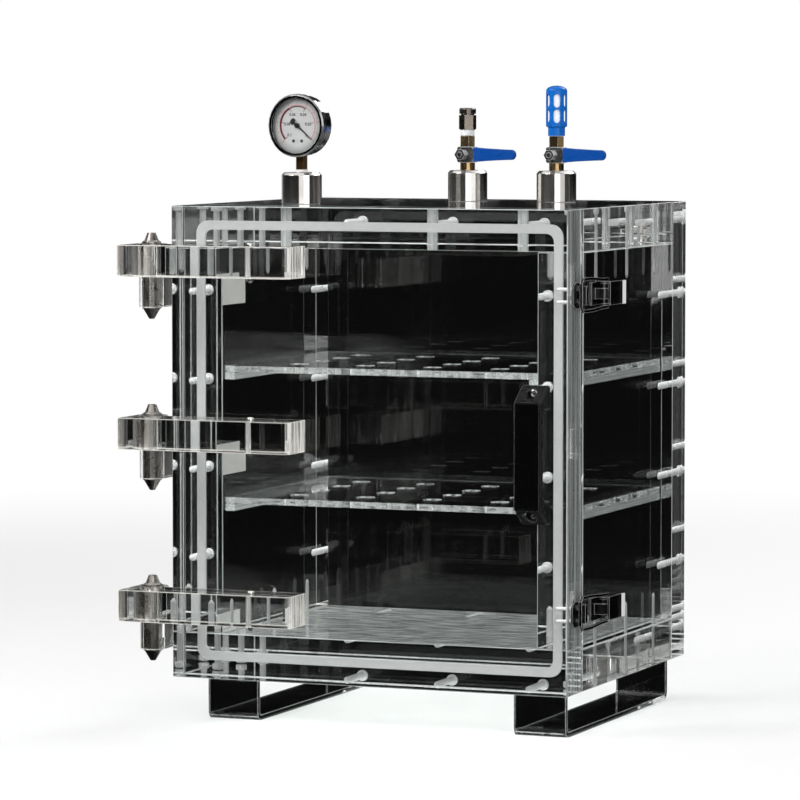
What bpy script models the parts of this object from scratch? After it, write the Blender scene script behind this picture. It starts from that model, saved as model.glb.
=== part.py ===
# Vacuum desiccator box: a thick-walled clear acrylic chamber with a side-hung door,
# two perforated shelves, a dial gauge and two small ball valves on top, two draw latches
# and a pair of bent acrylic feet. Metres, +Z up, the door faces -Y.
import math

import bmesh
import bpy
from mathutils import Vector

# Chamber and door
box_w = 0.400
box_h = 0.450
box_d = 0.300
wall = 0.040
door_t = 0.040
door_gap = 0.003
seat = 0.0003            # gap left between two pieces that touch
edge_bevel = 0.0008      # polished edge of a cut acrylic panel

# Door gasket
gasket_margin = 0.0145
gasket_w = 0.0085
gasket_r = 0.012

# Shelves and the strips that carry them
shelf_tops = {"upper": 0.297, "lower": 0.171}
shelf_t = 0.006
shelf_side_gap = 0.001
shelf_front_gap = 0.005
shelf_back_gap = 0.003
shelf_hole_r = 0.009
shelf_hole_pitch_x = 0.0685
shelf_hole_pitch_y = 0.0515
shelf_hole_columns = 4
shelf_hole_rows = 4
rail_w = 0.010
rail_h = 0.007

# Bent strip feet
foot_h = 0.045
foot_w = 0.052
foot_t = 0.005
foot_bend_r = 0.008
foot_side_inset = 0.017
foot_end_inset = 0.002

# Hinges: clear arms on the door, clear leaves on the left wall, steel pins
hinge_low = 0.0710       # lowest arm's middle, above the door's bottom edge
hinge_high = 0.0514      # highest arm's middle, under the door's top edge
hinge_count = 3
arm_h = 0.030
arm_depth = 0.040
arm_reach = 0.138        # from the chamber's left face to the arm's free end
arm_corner_r = 0.006
pin_out = 0.023          # pin axis, outwards from the left face
pin_back = 0.005         # pin axis, behind the door's front face
pin_r = 0.008
pin_cap_r = 0.0092
pin_cap_rim = 0.0028
pin_cone_r = 0.0068
pin_cap_top_r = 0.0040
pin_cap_h = 0.0100
pin_foot_rim = 0.0012
pin_foot_r = 0.0082
pin_tip_r = 0.0025
pin_tip_h = 0.0110
knuckle_r = 0.0152
bush_r = 0.012
running_gap = 0.0003
leaf_nose_r = 0.0120
leaf_drop = 0.0004       # gap between an arm and the leaf under it
leaf_back = 0.086        # from the chamber's front face to the leaf's rear end
leaf_shoulder = 0.004
arm_screw_x = 0.093      # from the chamber's left face
arm_screw_back = 0.014   # from the arm's front
arm_screw_hole_r = 0.0028

# Handle
handle_l = 0.1285
handle_w = 0.026
handle_depth = 0.028
handle_x = 0.1705
handle_z = 0.2242
handle_grip_t = 0.009
handle_grip_l = 0.099
handle_foot_l = 0.022
handle_lip = 0.006
handle_screw_pitch = 0.113
handle_screw_r = 0.0026
handle_head_r = 0.0048
handle_head_seat = 0.007
handle_bevel = 0.0015

# Draw latches
latch_zs = {"top": 0.3705, "bottom": 0.0750}
keeper_y = 0.023         # keeper plate's centre, in front of the chamber's front face
keeper_l = 0.022
keeper_w = 0.0245
keeper_waist = 0.0155
sheet_t = 0.0018
hook_w = 0.0175
hook_wall_y = 0.0145
hook_wall_t = 0.0022
hook_top = 0.0085
hook_flange_t = 0.0014
hook_flange_l = 0.0030   # folded edge of the hook, behind its wall
base_front = 0.017
base_l = 0.045
base_w = 0.0215
roll_r = 0.0043
roll_w = 0.0100
lever_pivot_y = 0.031
lever_pivot_out = 0.0090
lever_pin_r = 0.0016
throw = 0.010            # bail pivot, beyond the lever pivot
over_centre = 0.001      # bail pivot, under the line to the lever pivot
lever_w = 0.0220
lever_front = 0.0036     # front edge of the lever's plate, behind its pivot
lever_l = 0.041
lever_plate_out = 0.0122
lever_lip_out = 0.0165
cheek_lobe = 0.0034
cheek_t = 0.0018
bail_wire = 0.0028
bail_w = 0.0324
bail_neck_gap = 0.0005   # between the lever's cheek and the bail beside it
bail_front_chamfer = 0.005
bail_shoulder_y = 0.004  # where the bail begins to narrow, behind the chamber's front face
bail_neck_l = 0.010      # straight part of the bail ahead of its pivot
bail_lug_r = 0.0030
bail_bar_out = 0.0046    # the bail's bar, from the wall

# Ports on the top wall
port_hole_r = 0.0055
boss_r = 0.0195
boss_h = 0.030
boss_chamfer = 0.0025
socket_r = 0.0064
socket_l = 0.012
thread_r = 0.0061
gauge_x, gauge_y = -0.111, 0.064
valve_y = 0.223
valve_xs = {"vent": -0.0012, "pump": 0.0920}

# Ball valves
neck_l = 0.0083
hex_af = 0.0130
body_r = 0.0104
body_h = 0.0148
top_hex_h = 0.0108
ball_r = 0.0065
bore_r = 0.0035
ball_gap = 0.0003
stem_r = 0.0025
stem_boss_r = 0.0050
stem_boss_out = 0.0150   # stem boss face, in front of the valve's axis
lever_gap = 0.0003
blade_t = 0.0020
blade_w = 0.0090
blade_root_w = 0.0152
blade_root_r = 0.0055
handle_reach = 0.0568    # valve lever, from its pivot to its tip
sleeve_start = 0.013
sleeve_t = 0.0052
sleeve_w = 0.0145
sleeve_tip_w = 0.0105
nut_af = 0.0095
nut_t = 0.0045
tape_l = 0.0060
plug_r = 0.0083
plug_h = 0.0215
plug_cap_h = 0.0058
plug_hex_af = 0.0150
plug_groove = 0.0008

# Muffler
muffler_r = 0.0104
muffler_neck_r = 0.0083
muffler_h = 0.0495
muffler_neck_h = 0.0085
muffler_wall = 0.0020
muffler_dome = 0.0050
slot_w = 0.0062
slot_h = 0.0132
slot_rows = (0.0195, 0.0345)
slot_count = 6
slot_turn = math.radians(22)
core_r = 0.0070

# Gauge
gauge_r = 0.0305
gauge_case_r = 0.0290
gauge_depth = 0.0215
gauge_case_t = 0.0015
gauge_front = 0.0125     # face of the bezel, in front of the stem's axis
gauge_rise = 0.0453      # dial centre above the boss
gauge_turn = math.radians(-6)
bezel_l = 0.005
bezel_lip = 0.0035
bezel_skirt = 0.0022
lens_t = 0.0015
dial_t = 0.0008
dial_drop = 0.0022       # dial's face behind the lens
needle_l = 0.0211
needle_tail = 0.0085
needle_t = 0.0006
needle_rest = math.radians(-40)
spindle_r = 0.0010
stem_square = 0.0080
stem_collar = 0.0024      # taped thread that shows above the boss

round_steps = 24
small_steps = 14
gauge_steps = 28
hole_steps = 12

# Where the hinges, the door, the box and the frame's origin lie
hinge_pitch = (box_h - hinge_low - hinge_high) / (hinge_count - 1)
door_front = -door_gap - door_t
arm_front = door_front - arm_depth
left_face, right_face = -box_w / 2, box_w / 2
pin_x, pin_y = left_face - pin_out, door_front + pin_back
boss_top = box_h + boss_h
reach_left = left_face - pin_out - knuckle_r
reach_right = right_face + lever_lip_out
origin_x = -(reach_left + reach_right) / 2
origin_y = -(arm_front + box_d) / 2
origin_z = foot_h


def clear_scene():
    for item in list(bpy.data.objects):
        bpy.data.objects.remove(item, do_unlink=True)


def look(name, colour, roughness, metallic=0.0, transmission=0.0):
    made = bpy.data.materials.get(name)
    if made:
        return made
    made = bpy.data.materials.new(name)
    made.use_nodes = True
    shader = made.node_tree.nodes["Principled BSDF"]
    shader.inputs["Base Color"].default_value = (*colour, 1.0)
    shader.inputs["Roughness"].default_value = roughness
    shader.inputs["Metallic"].default_value = metallic
    shader.inputs["Transmission Weight"].default_value = transmission
    made.diffuse_color = (*colour, 1.0)
    return made


def acrylic():
    return look("clear_acrylic", (0.86, 0.90, 0.90), 0.04, transmission=0.9)


def steel():
    return look("stainless_steel", (0.62, 0.61, 0.59), 0.22, 1.0)


def chrome():
    return look("chrome_plate", (0.78, 0.78, 0.79), 0.10, 1.0)


def brass():
    return look("brass", (0.52, 0.38, 0.18), 0.30, 1.0)


def black_plastic():
    return look("black_plastic", (0.015, 0.015, 0.016), 0.38)


def blue_vinyl():
    return look("blue_vinyl", (0.02, 0.17, 0.62), 0.35)


def frame_empty(name, location, parent=None):
    empty = bpy.data.objects.new(name, None)
    bpy.context.scene.collection.objects.link(empty)
    empty.parent = parent
    empty.location = location
    return empty


def put(name, bm, location, parent, material, rotation=(0, 0, 0)):
    """Makes the object of a bmesh, at its place under its parent."""
    bmesh.ops.recalc_face_normals(bm, faces=bm.faces)
    mesh = bpy.data.meshes.new(name)
    bm.to_mesh(mesh)
    bm.free()
    mesh.shade_smooth()
    mesh.set_sharp_from_angle(angle=math.radians(35))
    mesh.materials.append(material)
    item = bpy.data.objects.new(name, mesh)
    bpy.context.scene.collection.objects.link(item)
    item.parent = parent
    item.location = location
    item.rotation_euler = rotation
    return item


# A profile drawn in XY and raised along Z, turned so that it is raised along another axis
ALONG_X = (math.pi / 2, 0, math.pi / 2)      # drawn in Y (across) and Z (up), raised towards +X
TOWARDS_FRONT = (math.pi / 2, 0, 0)          # drawn in X (across) and Z (up), raised towards -Y


def arc(cx, cy, r, start, end, steps):
    """Points on a round stretch, from one angle to another, in degrees."""
    turn = [math.radians(start + (end - start) * k / steps) for k in range(steps + 1)]
    return [(cx + r * math.cos(a), cy + r * math.sin(a)) for a in turn]


def circle(cx, cy, r, steps):
    return arc(cx, cy, r, 0, 360, steps)[:-1]


def polygon(across_flats, sides=6, turn=0.0):
    r = across_flats / 2 / math.cos(math.pi / sides)
    return [(r * math.cos(turn + 2 * math.pi * k / sides), r * math.sin(turn + 2 * math.pi * k / sides))
            for k in range(sides)]


def rectangle(x0, y0, x1, y1):
    return [(x0, y0), (x1, y0), (x1, y1), (x0, y1)]


def rounded(x0, y0, x1, y1, r, steps=4):
    """A rectangle with round corners."""
    return (arc(x1 - r, y0 + r, r, -90, 0, steps) + arc(x1 - r, y1 - r, r, 0, 90, steps)
            + arc(x0 + r, y1 - r, r, 90, 180, steps) + arc(x0 + r, y0 + r, r, 180, 270, steps))


def raised(loops, height, base=0.0):
    """A flat outline, with any holes in it, raised to a prism."""
    bm = bmesh.new()
    edges = []
    for loop in loops:
        verts = [bm.verts.new((x, y, base)) for x, y in loop]
        edges += [bm.edges.new((verts[k - 1], verts[k])) for k in range(len(verts))]
    filled = bmesh.ops.triangle_fill(bm, edges=edges, use_beauty=True, normal=(0, 0, 1))
    faces = [f for f in filled["geom"] if isinstance(f, bmesh.types.BMFace)]
    grown = bmesh.ops.extrude_face_region(bm, geom=faces)
    lifted = [v for v in grown["geom"] if isinstance(v, bmesh.types.BMVert)]
    bmesh.ops.translate(bm, vec=(0, 0, height), verts=lifted)
    bmesh.ops.dissolve_limit(bm, angle_limit=math.radians(0.5), verts=bm.verts, edges=bm.edges)
    return bm


def turned(profile, steps=round_steps):
    """A profile of (radius, height) points spun about Z; one that stays off the axis closes on itself."""
    bm = bmesh.new()
    verts = [bm.verts.new((r, 0, z)) for r, z in profile]
    edges = [bm.edges.new(pair) for pair in zip(verts, verts[1:])]
    if min(r for r, z in profile) > 0:
        edges.append(bm.edges.new((verts[-1], verts[0])))
    bmesh.ops.spin(bm, geom=verts + edges, cent=(0, 0, 0), axis=(0, 0, 1), angle=2 * math.pi,
                   steps=steps, use_merge=True)
    bmesh.ops.remove_doubles(bm, verts=bm.verts, dist=1e-6)
    return bm


def turned_shell(profile, steps=round_steps):
    """As turned, for a cup: its profile meets the axis twice, and its open end closes on the start."""
    bm = bmesh.new()
    verts = [bm.verts.new((r, 0, z)) for r, z in profile]
    pairs = list(zip(verts, verts[1:])) + [(verts[-1], verts[0])]
    edges = [bm.edges.new(pair) for pair in pairs if pair[0].co.x > 0 or pair[1].co.x > 0]
    bmesh.ops.spin(bm, geom=verts + edges, cent=(0, 0, 0), axis=(0, 0, 1), angle=2 * math.pi,
                   steps=steps, use_merge=True)
    bmesh.ops.remove_doubles(bm, verts=bm.verts, dist=1e-6)
    return bm


def block(size, centre=(0, 0, 0)):
    bm = bmesh.new()
    bmesh.ops.create_cube(bm, size=1.0)
    for v in bm.verts:
        v.co = Vector(centre) + Vector(v.co[k] * size[k] for k in range(3))
    return bm


def bevel(item, width, segments=1):
    change = item.modifiers.new("polished_edges", "BEVEL")
    change.width = width
    change.segments = segments
    change.limit_method = "ANGLE"
    change.angle_limit = math.radians(50)


def tool(name, bm, location, parent, rotation=(0, 0, 0)):
    """A shape that only cuts or joins: it isn't a piece of the object."""
    item = put(name, bm, location, parent, steel(), rotation)
    item.hide_render = True
    item.display_type = "WIRE"
    return item


def combine(item, other, operation):
    change = item.modifiers.new(operation.lower(), "BOOLEAN")
    change.operation = operation
    change.object = other
    change.solver = "EXACT"


def panel(name, x0, x1, y0, y1, z0, z1, parent):
    """A flat acrylic panel between six planes."""
    size = (x1 - x0, y1 - y0, z1 - z0)
    centre = ((x0 + x1) / 2, (y0 + y1) / 2, (z0 + z1) / 2)
    item = put(name, block(size), centre, parent, acrylic())
    bevel(item, edge_bevel)
    return item


def chamber_walls(frame):
    """Top and bottom cover the side walls, and the back covers all four."""
    joint = box_d - wall - seat
    ports = [(gauge_x, gauge_y)] + [(x, valve_y) for x in valve_xs.values()]
    outline = rectangle(left_face, 0, right_face, joint)
    holes = [circle(x, y, port_hole_r, small_steps) for x, y in ports]
    top = put("top_wall", raised([outline] + holes, wall), (0, 0, box_h - wall), frame, acrylic())
    bevel(top, edge_bevel)
    panel("bottom_wall", left_face, right_face, 0, joint, 0, wall, frame)
    panel("back_wall", left_face, right_face, box_d - wall, box_d, 0, box_h, frame)
    low, high = wall + seat, box_h - wall - seat
    panel("left_wall", left_face, left_face + wall, 0, joint, low, high, frame)
    panel("right_wall", right_face - wall, right_face, 0, joint, low, high, frame)


def gasket(frame):
    """Flat rubber frame between the door and the chamber's front."""
    outer = rounded(left_face + gasket_margin, gasket_margin, right_face - gasket_margin,
                    box_h - gasket_margin, gasket_r, 6)
    inset = gasket_margin + gasket_w
    inner = rounded(left_face + inset, inset, right_face - inset, box_h - inset, gasket_r - gasket_w / 2, 6)
    rubber = look("silicone_rubber", (0.62, 0.62, 0.60), 0.55)
    put("door_gasket", raised([outer, inner], door_gap - 2 * seat), (0, -seat, 0), frame, rubber, TOWARDS_FRONT)


def shelf(level, top, frame):
    """A perforated shelf on its two glued strips."""
    half = box_w / 2 - wall - shelf_side_gap
    front, back = shelf_front_gap, box_d - wall - shelf_back_gap
    middle = (front + back) / 2
    holes = []
    for column in range(shelf_hole_columns):
        x = (column - (shelf_hole_columns - 1) / 2) * shelf_hole_pitch_x
        for row in range(shelf_hole_rows):
            y = middle + (row - (shelf_hole_rows - 1) / 2) * shelf_hole_pitch_y
            holes.append(circle(x, y, shelf_hole_r, hole_steps))
    plate = raised([rectangle(-half, front, half, back)] + holes, shelf_t)
    put(level + "_shelf", plate, (0, 0, top - shelf_t), frame, acrylic())
    rail_top = top - shelf_t - seat
    inner = box_w / 2 - wall - seat
    for side, sign in (("left", -1), ("right", 1)):
        x0, x1 = sorted((sign * (inner - rail_w), sign * inner))
        panel(level + "_rail_" + side, x0, x1, front, back, rail_top - rail_h, rail_top, frame)


def feet(frame):
    """Strips bent into a flat loop, one under each side of the chamber."""
    front, back = foot_end_inset, box_d - foot_end_inset
    outer = rounded(front, -foot_h, back, -seat, foot_bend_r, 5)
    inner = rounded(front + foot_t, -foot_h + foot_t, back - foot_t, -seat - foot_t, foot_bend_r - foot_t, 5)
    for side, x in (("left", left_face + foot_side_inset),
                    ("right", right_face - foot_side_inset - foot_w)):
        put("foot_" + side, raised([outer, inner], foot_w), (x, 0, 0), frame, acrylic(), ALONG_X)


def hinge_leaf(name, top, frame):
    """The fixed half: glued to the left wall, its round nose carries the pin."""
    left = pin_x - leaf_nose_r
    right = pin_x + leaf_nose_r
    face = left_face - seat
    nose = arc(pin_x, pin_y, leaf_nose_r, 180, 360, 10)
    neck = arc(right + leaf_shoulder, 0, leaf_shoulder, 180, 90, 4)
    outline = nose + neck + [(face, leaf_shoulder), (face, leaf_back), (left, leaf_back)]
    hole = circle(pin_x, pin_y, pin_r + running_gap, small_steps)
    put(name, raised([outline, hole], arm_h), (0, 0, top - arm_h), frame, acrylic())


def hinge_pin(name, arm_bottom, frame):
    """Steel pin with a cone under the leaf and a cone cap over the arm."""
    low = -leaf_drop - arm_h - running_gap
    high = arm_h + running_gap
    profile = [(0, low - pin_tip_h), (pin_tip_r, low - pin_tip_h), (pin_foot_r, low - pin_foot_rim),
               (pin_cap_r, low - pin_foot_rim), (pin_cap_r, low), (pin_r, low), (pin_r, high),
               (pin_cap_r, high), (pin_cap_r, high + pin_cap_rim / 2), (pin_cone_r, high + pin_cap_rim),
               (pin_cap_top_r, high + pin_cap_h), (0, high + pin_cap_h)]
    put(name, turned(profile, small_steps), (pin_x, pin_y, arm_bottom), frame, steel())


def hinge_arm(number, bottom, door_axis):
    """The moving half: a clear bar across the door's front, with a knuckle round the bush."""
    back = door_front - seat - pin_y
    front = arm_front - pin_y
    right = left_face + arm_reach - pin_x
    corner = left_face - running_gap - pin_x
    bend = math.degrees(math.asin(back / knuckle_r)) if abs(back) < knuckle_r else -90
    outline = [(-knuckle_r, front)] + arc(right - arm_corner_r, front + arm_corner_r, arm_corner_r, -90, 0, 4)
    outline += [(right, back), (corner, back)]
    outline += arc(0, 0, knuckle_r, bend, 90, 8) + [(-knuckle_r, knuckle_r)]
    bush_hole = circle(0, 0, bush_r + running_gap, round_steps)
    screw_x = left_face + arm_screw_x - pin_x
    screw_hole = circle(screw_x, front + arm_screw_back, arm_screw_hole_r, 12)
    name = "hinge_arm_" + number
    put(name, raised([outline, bush_hole, screw_hole], arm_h), (0, 0, bottom), door_axis, acrylic())
    ring = [(pin_r + running_gap, 0), (bush_r, 0), (bush_r, arm_h), (pin_r + running_gap, arm_h)]
    put("hinge_bush_" + number, turned(ring, small_steps), (0, 0, bottom), door_axis, steel())


def hinges(frame, door_axis):
    for k in range(hinge_count):
        number = str(k + 1)
        bottom = hinge_low + k * hinge_pitch - arm_h / 2
        hinge_arm(number, bottom, door_axis)
        hinge_leaf("hinge_leaf_" + number, bottom - leaf_drop, frame)
        hinge_pin("hinge_pin_" + number, bottom, frame)


def door(door_axis):
    """The door panel, placed from the hinge pins' axis."""
    x0, x1 = left_face - pin_x, right_face - pin_x
    y0, y1 = door_front - pin_y, -door_gap - pin_y
    panel("door_panel", x0, x1, y0, y1, 0, box_h, door_axis)


def door_handle(door_axis):
    """Black bridge handle with sloped ends; the screws sit in the slopes."""
    half, grip_half = handle_l / 2, handle_grip_l / 2
    inner = half - handle_foot_l
    under = handle_depth - handle_grip_t
    ramp = under - handle_lip
    right_half = [(handle_lip, half), (handle_depth, grip_half)]
    outline = [(seat, -half), (handle_lip, -half), (handle_depth, -grip_half)]
    outline += [(d, z) for d, z in reversed(right_half)] + [(seat, half), (seat, inner), (ramp, inner)]
    outline += [(under, inner - handle_lip), (under, -inner + handle_lip), (ramp, -inner), (seat, -inner)]
    place = (handle_x - handle_w / 2 - pin_x, door_front - pin_y, handle_z)
    shape = raised([[(-d, z) for d, z in outline]], handle_w)
    grip = put("door_handle", shape, place, door_axis, black_plastic(), ALONG_X)
    for sign in (-1, 1):
        bore = [(0, -0.001), (handle_screw_r, -0.001), (handle_screw_r, handle_head_seat),
                (handle_head_r, handle_head_seat), (handle_head_r, handle_depth), (0, handle_depth)]
        spot = (handle_x - pin_x, door_front - pin_y, handle_z + sign * handle_screw_pitch / 2)
        drill = tool("handle_drill", turned(bore, small_steps), spot, door_axis, TOWARDS_FRONT)
        combine(grip, drill, "DIFFERENCE")
    bevel(grip, handle_bevel)


def latch_keeper(level, z, door_axis):
    """Keeper on the door's right edge: two screw lobes and a hook the bail pulls against from in front."""
    half, waist, side = keeper_w / 2, keeper_waist / 2, keeper_l / 2
    outline = [(-side, -waist), (-side * 0.35, -half), (side * 0.35, -half), (side, -waist),
               (side, waist), (side * 0.35, half), (-side * 0.35, half), (-side, waist)]
    place = (right_face + seat - pin_x, -keeper_y - pin_y, z)
    keeper = put("latch_keeper_" + level, raised([outline], sheet_t), place, door_axis, steel(), ALONG_X)
    back = keeper_y - hook_wall_y
    front = back - hook_wall_t
    hook = [(sheet_t / 2, front), (hook_top, front), (hook_top, back + hook_flange_l),
            (hook_top - hook_flange_t, back + hook_flange_l), (hook_top - hook_flange_t, back),
            (sheet_t / 2, back)]
    shape = raised([hook], hook_w, -hook_w / 2)
    combine(keeper, tool("hook_shape", shape, place, door_axis), "UNION")


def latch_base(level, z, frame):
    """Plate on the side wall, with a tongue rolled round the lever's pivot pin."""
    plate = block((sheet_t, base_l, base_w), (sheet_t / 2, base_front + base_l / 2, 0))
    place = (right_face + seat, 0, z)
    base = put("latch_base_" + level, plate, place, frame, steel())
    tongue_front = lever_pivot_y - roll_r
    tongue = [(sheet_t / 2, tongue_front), (lever_pivot_out, tongue_front)]
    tongue += arc(lever_pivot_out, lever_pivot_y, roll_r, 270, 450, 10)[1:]
    tongue += [(lever_pivot_out - roll_r, lever_pivot_y + roll_r - sheet_t),
               (lever_pivot_out - roll_r, tongue_front + sheet_t), (sheet_t / 2, tongue_front + sheet_t)]
    combine(base, tool("tongue_shape", raised([tongue], roll_w, -roll_w / 2), place, frame), "UNION")
    pin_half = lever_w / 2 + 0.0002
    pin = raised([circle(lever_pivot_out, lever_pivot_y, lever_pin_r, 10)], 2 * pin_half, -pin_half)
    combine(base, tool("lever_pin", pin, place, frame), "UNION")


def latch_lever(level, lever_axis):
    """Pressed lever: a plate with a raised lip, and two cheeks over the pivots."""
    top = lever_plate_out - lever_pivot_out
    lip = lever_lip_out - lever_pivot_out
    blade = [(top, lever_front), (top + sheet_t, lever_front), (top + sheet_t, lever_l - 0.007), (lip, lever_l),
             (lip - sheet_t, lever_l), (top, lever_l - 0.006)]
    lever = put("latch_lever_" + level, raised([blade], lever_w, -lever_w / 2), (0, 0, 0), lever_axis, steel())
    hole_r = lever_pin_r + running_gap
    cheek_top = top + sheet_t / 2
    cheek = [(cheek_top, lever_front), (cheek_top, throw + 2 * cheek_lobe)]
    cheek += arc(-over_centre, throw, cheek_lobe, 60, 180, 4) + arc(0, 0, cheek_lobe, 180, 340, 6)
    holes = [circle(0, 0, hole_r, 10), circle(-over_centre, throw, hole_r, 10)]
    for low in (lever_w / 2 - cheek_t, -lever_w / 2):
        shape = tool("cheek_shape", raised([cheek] + holes, cheek_t, low), (0, 0, 0), lever_axis)
        combine(lever, shape, "UNION")


def latch_bail(level, bail_axis):
    """Wire bail: its bar sits in the keeper's hook, its ends turn inwards into the lever's cheeks."""
    wide, wire = bail_w / 2, bail_wire
    narrow = lever_w / 2 + bail_neck_gap + wire
    pivot_y = lever_pivot_y + throw
    bar = -hook_wall_y - hook_wall_t - seat - wire - pivot_y
    shoulder, neck = bail_shoulder_y - pivot_y, -bail_neck_l
    cut = bail_front_chamfer
    outer = [(bail_lug_r, narrow), (neck, narrow), (shoulder, wide), (bar + cut, wide), (bar, wide - cut)]
    inner = [(bail_lug_r, narrow - wire), (neck, narrow - wire), (shoulder, wide - wire),
             (bar + cut, wide - wire), (bar + wire, wide - cut)]
    loop = outer + [(y, -z) for y, z in reversed(outer)] + [(y, -z) for y, z in inner] + inner[::-1]
    bail = put("latch_bail_" + level, raised([loop], wire, -wire / 2), (0, 0, 0), bail_axis, steel(), ALONG_X)
    for sign in (-1, 1):
        low, high = sorted((sign * (lever_w / 2 - cheek_t), sign * (narrow - wire / 2)))
        stub = raised([circle(0, 0, lever_pin_r, 10)], high - low, low)
        combine(bail, tool("bail_stub", stub, (0, 0, 0), bail_axis), "UNION")


def latches(frame, door_axis):
    for level, z in latch_zs.items():
        latch_keeper(level, z, door_axis)
        latch_base(level, z, frame)
        pivot = (right_face + seat + lever_pivot_out, lever_pivot_y, z)
        lever_axis = frame_empty("latch_lever_axis_" + level, pivot, frame)
        latch_lever(level, lever_axis)
        bail_axis = frame_empty("latch_bail_axis_" + level, (-over_centre, throw, 0), lever_axis)
        rise = lever_pivot_out - over_centre - bail_bar_out
        reach = lever_pivot_y + throw + hook_wall_y + hook_wall_t + bail_wire / 2
        bail_axis.rotation_euler.z = -math.asin(rise / reach)
        latch_bail(level, bail_axis)


def boss(name, x, y, frame):
    """Stainless boss on the top wall, bored through and threaded at the top."""
    profile = [(port_hole_r, 0), (boss_r, 0), (boss_r, boss_h - boss_chamfer), (boss_r - boss_chamfer, boss_h),
               (socket_r, boss_h), (socket_r, boss_h - socket_l), (port_hole_r, boss_h - socket_l)]
    put(name, turned(profile), (x, y, box_h + seat), frame, steel())


def ball_valve(name, x, frame):
    """Mini ball valve, shut: its bore stands across the flow and its lever points right."""
    base = boss_top + seat
    centre = neck_l + body_h / 2
    barrel = [(0, neck_l - 0.0005), (body_r - 0.0012, neck_l - 0.0005), (body_r, neck_l + 0.0007),
              (body_r, neck_l + body_h - 0.0012), (body_r - 0.0012, neck_l + body_h), (0, neck_l + body_h)]
    place = (x, valve_y, base)
    body = put(name + "_valve_body", turned(barrel), place, frame, chrome())
    neck = [(0, -socket_l + seat * 2), (thread_r, -socket_l + seat * 2), (thread_r, 0), (hex_af * 0.56, 0),
            (hex_af * 0.56, neck_l), (0, neck_l)]
    top = neck_l + body_h
    boss_profile = [(0, 0), (stem_boss_r, 0), (stem_boss_r, stem_boss_out), (0, stem_boss_out)]
    body_parts = (
        tool("neck_shape", turned(neck, small_steps), place, frame),
        tool("hex_shape", raised([polygon(hex_af)], top_hex_h + 0.001, top - 0.001), place, frame),
        tool("boss_shape", turned(boss_profile, small_steps), (x, valve_y, base + centre), frame, TOWARDS_FRONT),
    )
    for shape in body_parts:
        combine(body, shape, "UNION")
    cavity_r = ball_r + ball_gap
    channel = [(0, -socket_l - 0.001), (bore_r, -socket_l - 0.001)] + ball_pocket(centre, cavity_r)
    channel += [(bore_r, top + top_hex_h + 0.001), (0, top + top_hex_h + 0.001)]
    combine(body, tool("channel_shape", turned(channel, small_steps), place, frame), "DIFFERENCE")
    hole_r = stem_r + running_gap
    stem_hole = turned([(0, 0), (hole_r, 0), (hole_r, 0.03), (0, 0.03)], small_steps)
    combine(body, tool("stem_hole", stem_hole, (x, valve_y, base + centre), frame, TOWARDS_FRONT), "DIFFERENCE")
    return base + centre, base + top + top_hex_h


def ball_pocket(centre, radius, steps=7):
    """The round hollow that the ball turns in, as a stretch of the channel's profile."""
    start = math.acos(bore_r / radius)
    angles = [-start + 2 * start * k / steps for k in range(steps + 1)]
    return [(radius * math.cos(a), centre + radius * math.sin(a)) for a in angles]


def valve_inside(name, spindle):
    """Ball and stem in one: the ball's bore lies along X while the valve is shut."""
    length = stem_boss_out + lever_gap + blade_t + lever_gap + nut_t + 0.001
    start = math.asin(stem_r / ball_r)
    angles = [-math.pi / 2 + (math.pi - start) * k / 8 for k in range(9)]
    profile = [(max(ball_r * math.cos(a), 0), ball_r * math.sin(a)) for a in angles]
    profile += [(stem_r, length), (0, length)]
    ball = put(name + "_valve_stem", turned(profile, small_steps), (0, 0, 0), spindle, chrome(), TOWARDS_FRONT)
    bore = raised([circle(0, 0, bore_r, 16)], 4 * ball_r, -2 * ball_r)
    drill = tool("ball_drill", bore, (0, 0, 0), spindle, (0, math.pi / 2, 0))
    combine(ball, drill, "DIFFERENCE")


def valve_lever(name, spindle):
    """Steel blade on the stem, its vinyl sleeve and the nut that holds it."""
    front = -(stem_boss_out + lever_gap)
    half, root = blade_w / 2, blade_root_w / 2
    tongue = handle_reach - 0.006
    shoulder = sleeve_start - 0.0015
    blade = arc(0, 0, blade_root_r, 110, 250, 8)
    blade += [(0.001, -root), (shoulder - 0.001, -root), (shoulder, -root + 0.001), (sleeve_start, -half),
              (tongue, -half + 0.001), (tongue, half - 0.001), (sleeve_start, half), (shoulder, root - 0.001),
              (shoulder - 0.001, root), (0.001, root)]
    hole = circle(0, 0, stem_r + running_gap, small_steps)
    put(name + "_valve_lever", raised([blade, hole], blade_t), (0, front, 0), spindle, chrome(), TOWARDS_FRONT)
    wide, narrow = sleeve_w / 2, sleeve_tip_w / 2
    tip = handle_reach - narrow
    outline = [(sleeve_start, -wide), (sleeve_start + 0.012, -wide + 0.001), (tip - 0.008, -narrow)]
    outline += arc(tip, 0, narrow, -70, 70, 6)
    outline += [(tip - 0.008, narrow), (sleeve_start + 0.012, wide - 0.001), (sleeve_start, wide)]
    sleeve_front = front + (sleeve_t - blade_t) / 2
    sleeve = put(name + "_lever_sleeve", raised([outline], sleeve_t), (0, sleeve_front, 0), spindle,
                 blue_vinyl(), TOWARDS_FRONT)
    bevel(sleeve, 0.0012, 2)
    gap = running_gap
    pocket = rectangle(0, -half - gap, tongue + gap, half + gap)
    shape = raised([pocket], blade_t + 2 * gap)
    combine(sleeve, tool("sleeve_pocket", shape, (0, front + gap, 0), spindle, TOWARDS_FRONT), "DIFFERENCE")
    sleeve.modifiers.move(1, 0)
    nut_hole = circle(0, 0, stem_r + running_gap, small_steps)
    nut = raised([polygon(nut_af), nut_hole], nut_t)
    put(name + "_lever_nut", nut, (0, front - blade_t - lever_gap, 0), spindle, chrome(), TOWARDS_FRONT)


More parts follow.
